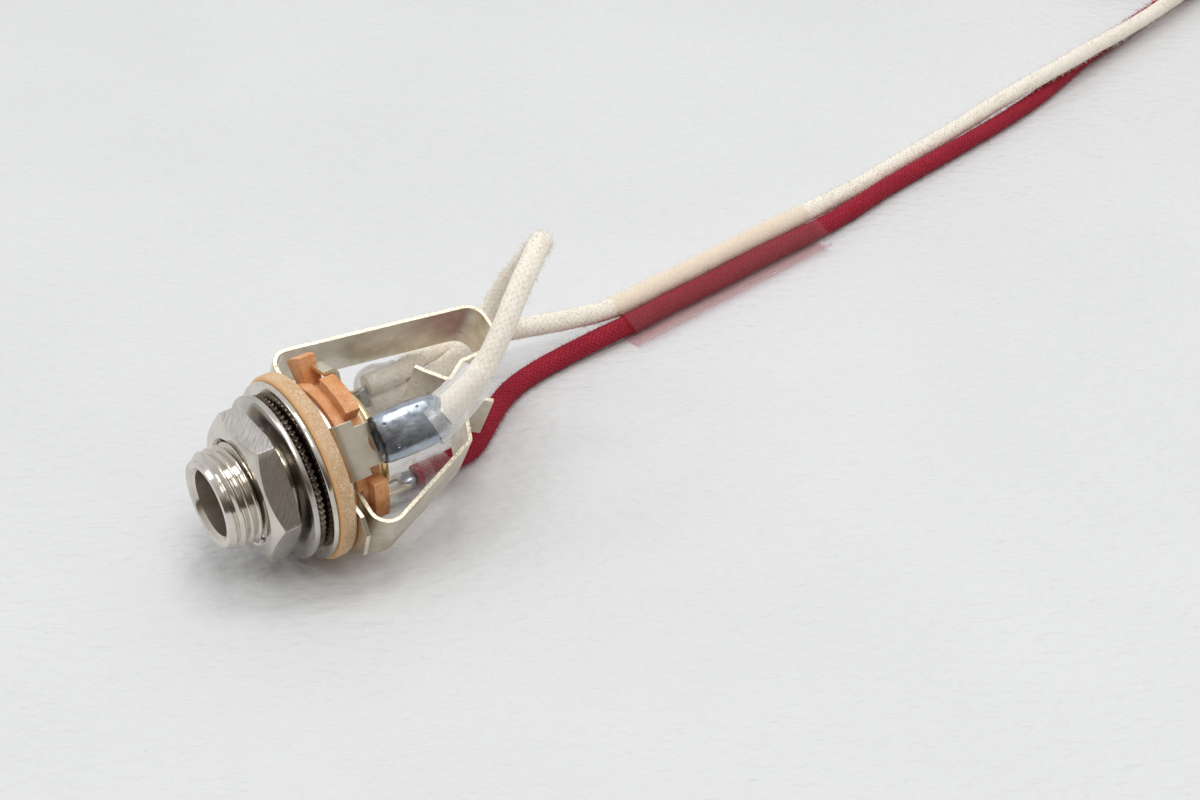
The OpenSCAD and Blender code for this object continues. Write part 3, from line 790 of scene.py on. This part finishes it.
joint_a, joint_b = Vector((JOINT_FROM, 10.1, -6.95)), Vector((JOINT_TO, 12.78, -6.95))
joint_ahead = (joint_b - joint_a).normalized()
tilt = radians(34.4)
level = Vector((-joint_ahead.y, joint_ahead.x, 0))
joint_across = level * cos(tilt) + UP * sin(tilt)
joint_sleeve = piece("joint_sleeve_tube", *straight_tube(
    joint_a, joint_ahead, joint_across, (joint_b - joint_a).length, LEAD_PITCH,
    lambda s: 0.04 * max(0.0, 1 - s * 22) + 0.04 * max(0.0, 1 - (1 - s) * 18), 60, 3.0, slack=level * -1.7),
    SLEEVE_CLEAR, ["joint_sleeve"], "clear_tube")


def coil_frame(angle):
    """Directions out of the coil and round it."""
    a = radians(angle)
    return Vector((cos(a), sin(a), 0)), Vector((-sin(a), cos(a), 0))


def tinned_end(name, node, angle, height):
    """Twisted tinned strands that leave the inside of the coil, six round one."""
    lean = radians(35)
    out, side = coil_frame(angle)
    ahead = -out * cos(lean) + side * sin(lean)
    up = ahead.cross(side).normalized()
    cross = up.cross(ahead)
    start = Vector((*COIL, height)) + out * 9.75
    parts = []
    for k in range(7):
        line = []
        for i in range(25):
            spin = 2 * pi * (k / 6 + i / 14)
            r = 0.0 if k == 6 else 0.28 * (1 - 0.25 * i / 24)
            line.append(start + ahead * (i * 0.245) + (up * cos(spin) + cross * sin(spin)) * r)
        parts.append(tube(line, 0.155, 8)[:2])
    return piece(name, *shells(*parts), TINNED, [node], "tinned_copper", sharp=60.0)


white_end = tinned_end("white_tinned_end", "white_tip", 200.0, WHITE_LEVEL)
red_end = tinned_end("red_tinned_end", "red_tip", 170.0, RED_LEVEL)


def band_tie():
    """Soft closed tie round the coil's section."""
    out, side = coil_frame(60.0)
    centre = Vector((*COIL, -6.4)) + out * 12.0
    count = 40
    verts = []
    for k in range(count):
        t = 2 * pi * k / count
        x, y = 2.52 * blunt(cos(t), 0.45), 2.42 * blunt(sin(t), 0.45)
        for w, grow in ((-1, 0.0), (-1, 0.3), (1, 0.3), (1, 0.0)):
            reach = 1 + grow / 2.6 / 2
            rise = Vector((0, 0, y * reach * 0.98))
            verts.append(tuple(centre + out * (x * reach) + rise + side * w * 0.9))
    return piece("band_tie", verts, loft(count, 4, True), TIE, ["coil_tie"], "tie_plastic", bevel=0.08)


tie = band_tie()
lead("white_cloth_lead", white_route, WHITE_CLOTH, "white_cloth", ["white_lead", "lead_coil"],
     11)
red_line = lead("red_cloth_lead", red_route, RED_CLOTH, "red_cloth", ["red_lead"],
                23)
jumper_line = lead("white_cloth_jumper", jumper_route, WHITE_CLOTH, "white_cloth", ["white_jumper"],
                   37, flare=0.35)


# Bushing with its thread

MOUTH, FRONT_R, ROOT_R = -8.0, 4.12, 4.24
THREAD_END = -0.3
BORE_R = 3.2
LIP_FRONT = 6.55


def bushing():
    """Screw thread from the mouth, then the flange, stem, rolled lip and bore as one turned ring."""
    count = 144
    shape = ((0.0, 1.0), (0.10, 1.0), (0.15, 0.93), (0.45, 0.10),
             (0.50, 0.0), (0.58, 0.0), (0.63, 0.10), (0.95, 0.93))
    turns = int((THREAD_END - MOUTH) / PITCH) + 4
    crest = THREAD_R - 0.02
    rows = turns * len(shape)
    verts, faces = [], []
    for column in range(count):
        a = 2 * pi * column / count
        ladder = [(MOUTH - 2 * PITCH + PITCH * (k + f + column / count), ROOT_R + (crest - ROOT_R) * h)
                  for k in range(turns) for f, h in shape]
        below = [q for q in ladder if q[0] <= MOUTH][-1]
        above = [q for q in ladder if q[0] > MOUTH][0]
        rim = below[1] + (above[1] - below[1]) * (MOUTH - below[0]) / (above[0] - below[0])
        for x, r in ladder:
            if x < MOUTH:
                x, r = MOUTH, rim
            elif x > THREAD_END:
                x, r = THREAD_END, ROOT_R
            r = min(r, FRONT_R + (x - MOUTH) * 0.62)
            verts.append((x, r * cos(a), r * sin(a)))
    for column in range(count):
        here, there = column * rows, (column + 1) % count * rows
        shift = len(shape) if column == count - 1 else 0
        for i in range(rows - 1 - shift):
            j = i + shift
            faces.append((here + i, here + i + 1, there + j + 1, there + j))
    rim_r, ease = 8.6, 0.16
    profile = ([(ROOT_R, THREAD_END), (ROOT_R, 0.0)]
               + arc((rim_r - ease, ease), ease, -90, 0, 4) + arc((rim_r - ease, 0.39), ease, 0, 90, 4)
               + [(4.0, 0.55), (4.0, 6.6), (4.6, 6.6)]
               + arc((5.1, 7.1), 0.5, -90, 90, 12)
               + [(4.4, 7.58), (3.6, 7.5), (BORE_R, 7.2), (BORE_R, 3.0), (BORE_R, -7.55),
                  (3.52, MOUTH + 0.04), (3.58, MOUTH)])
    ring, ring_faces = lathe(profile, count)
    start = len(verts)
    mouth = start + (len(profile) - 1) * count
    verts += ring
    faces += [tuple(i + start for i in face) for face in ring_faces[:-count]]
    for column in range(count):
        following = (column + 1) % count
        faces.append((mouth + column, mouth + following, following * rows, column * rows))
    return verts, faces


socket_bushing = piece("threaded_bushing", *bushing(), NICKEL, ["bushing"], "nickel", sharp=28.0)
also(socket_bushing, LIP_BRASS, lambda spot, _: spot.x > LIP_FRONT)
also(socket_bushing, BORE, lambda spot, _: spot.x <= LIP_FRONT and hypot(spot.y, spot.z) < BORE_R + 0.02)


# Nut and washers

WASHER_HOLE = 4.82


def hex_nut():
    """Six flats with a round chamfer in front and a slight one behind."""
    nut_x, nut_end = -4.9, -2.3
    corner = NUT_APOTHEM / cos(radians(30))
    front_r, rear_r, hole, hole_rim = 6.05, 6.65, 4.81, 5.16
    per = 24
    verts = []
    for k in range(6 * per):
        local = (k % per) / per * 60 - 30
        flat = min(NUT_APOTHEM / cos(radians(local)), corner - 0.04)
        chamfer = nut_x + 0.78 * (flat - front_r) / (corner - front_r)
        rear = nut_end - 0.3 * max(0.0, flat - rear_r) / (corner - rear_r)
        ladder = [(hole, -4.4), (hole_rim, nut_x), (front_r - 0.05, nut_x), (front_r, nut_x + 0.012),
                  (flat, chamfer), (flat, rear), (min(flat, rear_r) - 0.02, nut_end),
                  (hole_rim, nut_end), (hole, -2.65)]
        a = radians(60.0 + k * 60.0 / per)
        verts += [(x, r * cos(a), r * sin(a)) for r, x in ladder]
    return verts, loft(6 * per, len(ladder), True)


nut = piece("nickel_hex_nut", *hex_nut(), NUT_NICKEL, ["hex_nut"], "nut_nickel", body="nut",
            sharp=24.0, bevel=0.05)
also(nut, NICKEL, lambda _, normal: abs(normal.x) > 0.5)
piece("plain_washer", *lathe(disc(-1.55, 0.55, 7.9, WASHER_HOLE, 0.12)), WASHER_STEEL, ["flat_washer"],
      "washer_steel", body="washer", sharp=30.0)


def lock_washer():
    """Ring with a row of fine twisted teeth round its rim."""
    teeth, per, tooth = 72, 6, 0.55
    reach = (0.0, 0.35, 0.75, 1.0, 0.85, 0.2)
    total = teeth * per
    verts = []
    rows = ((WASHER_HOLE, -0.72, None), (6.9, -0.72, None),
            (7.05, -0.72, 0.0), (7.05, -0.5, 1.2), (7.05, -0.28, 2.4),
            (6.9, -0.26, None), (WASHER_HOLE, -0.26, None))
    for i in range(total):
        a = 2 * pi * i / total
        for r, x, shift in rows:
            if shift is not None:
                at = (i + shift) % per
                low = int(at)
                r += tooth * (reach[low] + (reach[(low + 1) % per] - reach[low]) * (at - low))
            verts.append((x, r * cos(a), r * sin(a)))
    return verts, loft(total, len(rows), True)


# The toothed washer carries the painted shade of its gap in its dark finish.
piece("toothed_washer", *lock_washer(), SHADED_TOOTH_STEEL, ["lock_washer"], "washer_steel", sharp=25.0)


def fibre_ring():
    """Eased ring with a slightly uneven rim."""
    verts, faces = lathe(disc(0.56, 1.63, 9.0, STEM_HOLE, 0.42, 6), 180)
    rough = []
    for x, y, z in verts:
        on_rim = hypot(y, z) > 7
        push = 1 + (0.006 * noise.noise(Vector((x, y, z)) * 1.6) - 0.004) * on_rim
        rough.append((x, y * push, z * push))
    return rough, faces


piece("fibre_ring", *fibre_ring(), FIBRE, ["fibre_washer"], "fibre", sharp=60.0)


# Terminals and contact springs

SLEEVE_X, TIP_X, RING_X, WAFER_X = 2.2, 2.85, 3.5, 3.95
REAR_X = 6.15
EAR, KEY_TAB = 172.0, 48.7
TIP_MID, RING_MID = TIP_X + PLATE_T / 2, RING_X + PLATE_T / 2


def sleeve_plate():
    """Plate of the sleeve contact, with its stop ear, bent root and wide lug."""
    ear = [(PLATE_ROOT, -2.8), (8.9, -2.8), (10.2, -1.5), (10.2, 1.5), (8.9, 2.8), (PLATE_ROOT, 2.8)]
    ear_verts = [turn(EAR, x, u, v) for x in (SLEEVE_X + 0.01, SLEEVE_X + 0.44) for u, v in ear]
    mid = SLEEVE_X + PLATE_T / 2
    root = bent([(mid, PLATE_ROOT), (mid, SLEEVE_OUT), (4.35, SLEEVE_OUT)], [0.75])
    return shells(
        lathe(disc(SLEEVE_X, PLATE_T, PLATE_R, STEM_HOLE), PLATE_SIDES),
        (ear_verts, loft(2, len(ear))),
        strip(root, 5.2, SLEEVE_LUG)[:2],
        holed_tongue(SLEEVE_LUG, SLEEVE_OUT, 4.3, 11.4, 1.95, 6.2, 7.7, 1.05))


def holed_tongue(angle, out, first, last, half, hole_first, hole_last, hole_r):
    """Flat tongue of a lug with its oval wire hole."""
    cut = half * 0.38
    outer = [(first, -half), (last - cut, -half), (last, cut - half),
             (last, half - cut), (last - cut, half), (first, half)]
    bow = [(hole_r * sin(pi * k / 10), hole_r * cos(pi * k / 10)) for k in range(11)]
    hole = [(hole_first - x, v) for x, v in bow] + [(hole_last + x, -v) for x, v in bow]
    work = bmesh.new()
    for outline in (outer, hole):
        corners = [work.verts.new((x, v, 0)) for x, v in outline]
        for a, b in zip(corners, corners[1:] + corners[:1]):
            work.edges.new((a, b))
    bmesh.ops.triangle_fill(work, edges=work.edges[:], use_beauty=True)
    flat = work.faces[:]
    grown = bmesh.ops.extrude_face_region(work, geom=flat, use_keep_orig=True)
    for item in grown["geom"]:
        if isinstance(item, bmesh.types.BMVert):
            item.co.z += LEAF
    work.verts.index_update()
    verts = [turn(angle, v.co.x, out - LEAF / 2 + v.co.z, v.co.y) for v in work.verts]
    faces = [tuple(v.index for v in f.verts) for f in work.faces]
    work.free()
    return verts, faces


piece("sleeve_plate_and_lug", *sleeve_plate(), SPRING, ["sleeve_terminal"], "tinned_brass",
      sharp=30.0, bevel=0.05)

TIP_PATH = [(TIP_MID, PLATE_ROOT), (TIP_MID, 10.2), (24.1, 7.2), (24.1, 2.4), (19.4, 2.3), (17.3, 0.95),
            (15.65, 2.75), (15.0, 3.6)]
RING_PATH = [(RING_MID, -PLATE_ROOT), (RING_MID, -10.4), (15.8, -5.4), (17.6, -1.0), (20.0, -2.7)]


def contact_strip(name, path, bends, nodes, flex, reach):
    """Contact spring strip along its path, from its fixed root to its free arm; the points at flex and reach
    are computed but not used.
    """
    verts, faces, uvs = strip(bent(path, bends, 0.35), LEAF_W, 0.0)
    obj = piece(name, verts, faces, SPRING, nodes, "nickel_silver", body=None, sharp=30.0, uvs=uvs, bevel=0.07)
    start = Vector(turn(0.0, *flex))
    end = Vector(turn(0.0, *reach))
    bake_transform(obj)


contact_strip("long_contact_spring", TIP_PATH, [1.5, 1.9, 1.6, 1.2, 0.5, 0.6], ["tip_spring"],
              (4.7, 9.97), (10.0, 9.21))
contact_strip("short_contact_spring", RING_PATH, [1.75, 0.7, 0.8], ["ring_spring"],
              (6.1, -9.42), (10.6, -7.55))


def lug_plate(name, node, x, angle, end):
    """Plate of a contact spring with its narrow solder lug."""
    mid = x + PLATE_T / 2
    lug = bent([(mid, PLATE_ROOT), (mid, LUG_OUT), (end - 3.4, LUG_OUT)], [0.7])
    parts = [lathe(disc(x, PLATE_T, PLATE_R, COLLAR_HOLE), PLATE_SIDES), strip(lug, 2.2, angle)[:2],
             holed_tongue(angle, LUG_OUT, end - 3.45, end, 1.1, end - 2.2, end - 1.3, 0.5)]
    piece(name, *shells(*parts), SPRING, [node], "nickel_silver", sharp=30.0, bevel=0.05)


lug_plate("tip_plate_and_lug", "tip_terminal", TIP_X, TIP_LUG, 12.8)
lug_plate("ring_plate_and_lug", "ring_terminal", RING_X, RING_LUG, 12.4)


# Insulating wafers and the rear washer

def block(first, last, inner, outer, x0, x1, steps=10):
    """Part of a ring between two angles."""
    verts = []
    for i in range(steps + 1):
        angle = first + (last - first) * i / steps
        verts += [turn(angle, x, r) for r, x in ((inner, x0), (outer, x0), (outer, x1), (inner, x1))]
    return verts, loft(steps + 1, 4)


def thin_ring(name, x, t, outer, inner, finish, node, slot):
    piece(name, *lathe(disc(x, t, outer, inner, 0.05), PLATE_SIDES), finish, [node], slot)


TALL_BLOCK = (19, 38.8, 9.4, 4.2, 5.9)
LOW_BLOCKS = [(a, b, 8.2, 4.45, 5.95) for a, b in ((58.6, 93), (142, 172), (186, 230), (266, 304))]
wafer = [lathe([(STEM_HOLE, WAFER_X), (6.95, WAFER_X), (7.0, WAFER_X + 0.55), (6.6, WAFER_X + 0.62),
                (6.6, REAR_X), (STEM_HOLE, REAR_X)], 120)]
wafer += [block(a, b, 5.6, outer, first, last) for a, b, outer, first, last in (TALL_BLOCK, *LOW_BLOCKS)]
wafer += [block(a, b, 6.65, 7.05, 3.36, WAFER_X + 0.3, steps)
          for a, b, steps in ((31, 149, 40), (212, 240, 10))]
piece("castellated_wafer", *shells(*wafer), PHENOLIC, ["keyed_wafer"], "phenolic", bevel=0.12)
thin_ring("front_thin_wafer", 2.66, 0.18, PLATE_R, COLLAR_HOLE, PHENOLIC, "front_insulator", "phenolic")
thin_ring("middle_thin_wafer", 3.31, 0.18, PLATE_R, COLLAR_HOLE, PHENOLIC, "middle_insulator", "phenolic")
thin_ring("fibre_collar", 2.65, 1.3, 4.75, STEM_HOLE, FIBRE, "insulating_collar", "fibre")

tab_mid, tab_out, tab_front = REAR_X + PLATE_T / 2, 8.2, 5.05
tab_line = bent([(tab_mid, 5.2), (tab_mid, tab_out), (tab_front, tab_out)], [0.5], 0.4)
rear_washer = piece("rear_washer_and_tab", *shells(
    lathe(disc(REAR_X, PLATE_T, 5.8, STEM_HOLE, 0.05), PLATE_SIDES), strip(tab_line, 2.6, KEY_TAB)[:2]),
    BRASS_PLATE, ["rear_washer"], "brass_plate", sharp=30.0, bevel=0.04)
also(rear_washer, LIP_BRASS, lambda spot, _: spot.x < tab_front + 0.01)


# Solder

def solder_blob(name, node, angle, sections, out, seed, lumps):
    """Lofted drop: each section is a place along the jack, half width, lower and upper height."""
    verts = []
    count = 28
    for x, half, low, high in sections:
        for k in range(count):
            t = 2 * pi * k / count
            height = high if sin(t) > 0 else low
            spot = Vector((x, half * blunt(cos(t), 0.55), height * blunt(sin(t), 0.6)))
            spot += spot.normalized() * lumps * noise.noise(spot * 0.75 + Vector((seed, 0, 0)))
            along = x + 0.12 * noise.noise(spot * 1.1 + Vector((0, seed, 0)))
            verts.append(turn(angle, along, out + spot.z, spot.y))
    piece(name, verts, loft(len(sections), count), SOLDER, [node], "solder", sharp=70.0, smooth=2)


solder_blob("sleeve_solder_blob", "sleeve_solder", SLEEVE_LUG, [
    (7.2, 0.9, 0.1, 0.3), (6.5, 1.3, 0.15, 0.5), (6.0, 1.7, 0.25, 0.75), (5.75, 1.98, 0.34, 0.95),
    (5.85, 2.15, 0.45, 1.15), (6.4, 2.28, 0.52, 1.4), (7.3, 2.34, 0.6, 1.75), (8.4, 2.36, 0.7, 1.95),
    (9.5, 2.38, 0.8, 2.05), (10.6, 2.34, 0.85, 2.1), (11.6, 2.22, 0.85, 2.1), (12.3, 2.0, 0.8, 1.95),
    (12.7, 1.6, 0.6, 1.6), (12.85, 1.0, 0.3, 1.1)], SLEEVE_OUT + 0.1, 4.0, 0.13)
solder_blob("ring_solder_drop", "ring_solder", RING_LUG, [
    (10.8, 0.4, 0.1, 0.2), (11.2, 0.7, 0.3, 0.35), (11.8, 1.0, 0.4, 0.45), (12.5, 1.2, 0.45, 0.5),
    (12.8, 1.0, 0.3, 0.3)], LUG_OUT, 9.0, 0.1)
solder_blob("tip_solder_drop", "tip_solder", TIP_LUG, [
    (11.6, 0.5, 0.2, 0.3), (11.9, 0.8, 0.4, 0.5), (12.5, 0.95, 0.6, 0.7), (13.2, 0.85, 0.6, 0.7),
    (13.5, 0.6, 0.4, 0.5)], LUG_OUT, 14.0, 0.08)


# Shrink tubing over the soldered joints

def lug_tube(name, node, angle, first, length, spread, swell, seed, finish, pinch=None):
    """Tube over a solder lug and the wires on it."""
    start = Vector(turn(angle, first, LUG_OUT))
    across = Vector(turn(angle, 0.0, 0.0, 1.0))
    piece(name, *straight_tube(start, X_AXIS, across, length, spread, swell, 30, seed, pinch), finish, [node],
          "clear_tube", sharp=50.0)


def wire_tube(name, line, radius, seed, finish, wall, nodes=()):
    """Tube that follows a wire, with a radius that changes along it."""
    sections = []
    for i, (p, _, across, up) in enumerate(frames(line)):
        share = i / (len(line) - 1)
        outer = rippled(stadium(0.0, radius(share)), 0.035, share * 4 + seed)
        sections.append((p, across, up, outer, stadium(0.0, radius(share) - wall)))
    piece(name, *sleeve(sections), finish, nodes, "clear_tube", sharp=50.0)


def rounded_start(share, reach):
    """How far a tube's end is drawn in: 1 at its start, and 0 from the reach on."""
    left = max(0.0, 1 - share / reach)
    return 1 - (1 - left * left) ** 0.5


lug_tube("ring_joint_tube", "ring_shrink", RING_LUG, 11.6, 4.5, LEAD_PITCH,
         lambda s: 0.38 * sin(pi * min(1.0, s * 1.15)) ** 2 - 0.75 * rounded_start(s, 0.25),
         5.0, MILKY, lambda s: 1.0 - 0.45 * rounded_start(s, 0.3))
lug_tube("tip_joint_tube", "tip_shrink", TIP_LUG, 7.2, 7.5, 0.0,
         lambda s: 0.25 + 0.35 * s - 0.5 * rounded_start(s, 0.12), 8.0, CLEAR)
sleeve_run = [jumper_line[0] - Vector((1.5, 0.0, 0.55))] + jumper_line[:11]
wire_tube("sleeve_joint_tube", smooth_line(sleeve_run, 0.22)[0], lambda s: 2.2 - 0.45 * s ** 0.8,
          2.0, MILKY, 0.3, ["sleeve_shrink"])
wire_tube("red_end_tube", smooth_line(red_line[1:8], 0.2)[0], lambda s: 1.42 - 0.12 * s, 6.0, CLEAR, 0.2)


# Floor and light

def pale_floor():
    """White table with faint slanting ripples."""
    f = Finish("pale_floor", specular_ior_level=0.25)
    x, y, _ = f.parts(f.place())
    along, across = x * 0.81 - y * 0.58, x * 0.58 + y * 0.81
    ripple = f.grain(1.0, 2.0, 0.45, f.node("CombineXYZ", sockets={0: along * 0.55, 1: across * 0.95}))
    cloud = f.grain(1.0, 2.0, 0.5, f.place((25.0, 25.0, 25.0)))
    f.set(base_color=f.mix(f.band(cloud, 0.3, 0.7), (0.70, 0.705, 0.71), (0.725, 0.73, 0.735)), roughness=0.5)
    f.bump(ripple, 0.45, 0.85)
    mesh = bpy.data.meshes.new("floor")
    corners = ((-1.5, -1.5), (1.5, -1.5), (1.5, 1.5), (-1.5, 1.5))
    mesh.from_pydata([(*corner, FLOOR * MM) for corner in corners], [], [(0, 1, 2, 3)])
    mesh.materials.append(f.material)
    floor = placed("floor", mesh)


def softbox(name, place, target, size, watts):
    """Area lamp; its place, target and size are in metres."""
    data = bpy.data.lights.new(name, "AREA")
    data.shape = "RECTANGLE"
    data.size, data.size_y = size
    data.energy = watts
    lamp = placed(name, data)
    lamp.location = Vector(place)
    lamp.rotation_euler = (Vector(target) - Vector(place)).to_track_quat("-Z", "Y").to_euler()


def studio():
    """White tent above and behind, with a dim warm room on the side of the viewer."""
    world = bpy.data.worlds.new("studio")
    bpy.context.scene.world = world
    sky = Nodes(world)
    x, y, z = sky.parts(sky.node("TexCoord"))
    tent = sky.ramp(x * 0.10 + y * 0.30 + z * 0.30 + 0.5,
                    (0.32, (0.14, 0.12, 0.10)), (0.40, (0.32, 0.28, 0.24)),
                    (0.49, (0.70, 0.69, 0.67)), (0.85, (0.90, 0.91, 0.925)))
    background = sky.tree.nodes["Background"]
    plug(sky.tree, background.inputs["Color"], tent)
    plug(sky.tree, background.inputs["Strength"], 0.83)
    softbox("top_softbox", (0.15, 0.02, 0.74), (0.02, 0.0, 0.0), (0.25, 0.25), 1.3)
    softbox("left_softbox", (-0.40, 0.26, 0.54), (0.0, 0.0, 0.0), (0.25, 0.25), 0.5)
    softbox("front_softbox", (0.02, -0.30, 0.66), (0.01, 0.0, 0.0), (0.28, 0.22), 1.25)


pale_floor()
studio()
bpy.context.scene.view_settings.view_transform = "Standard"
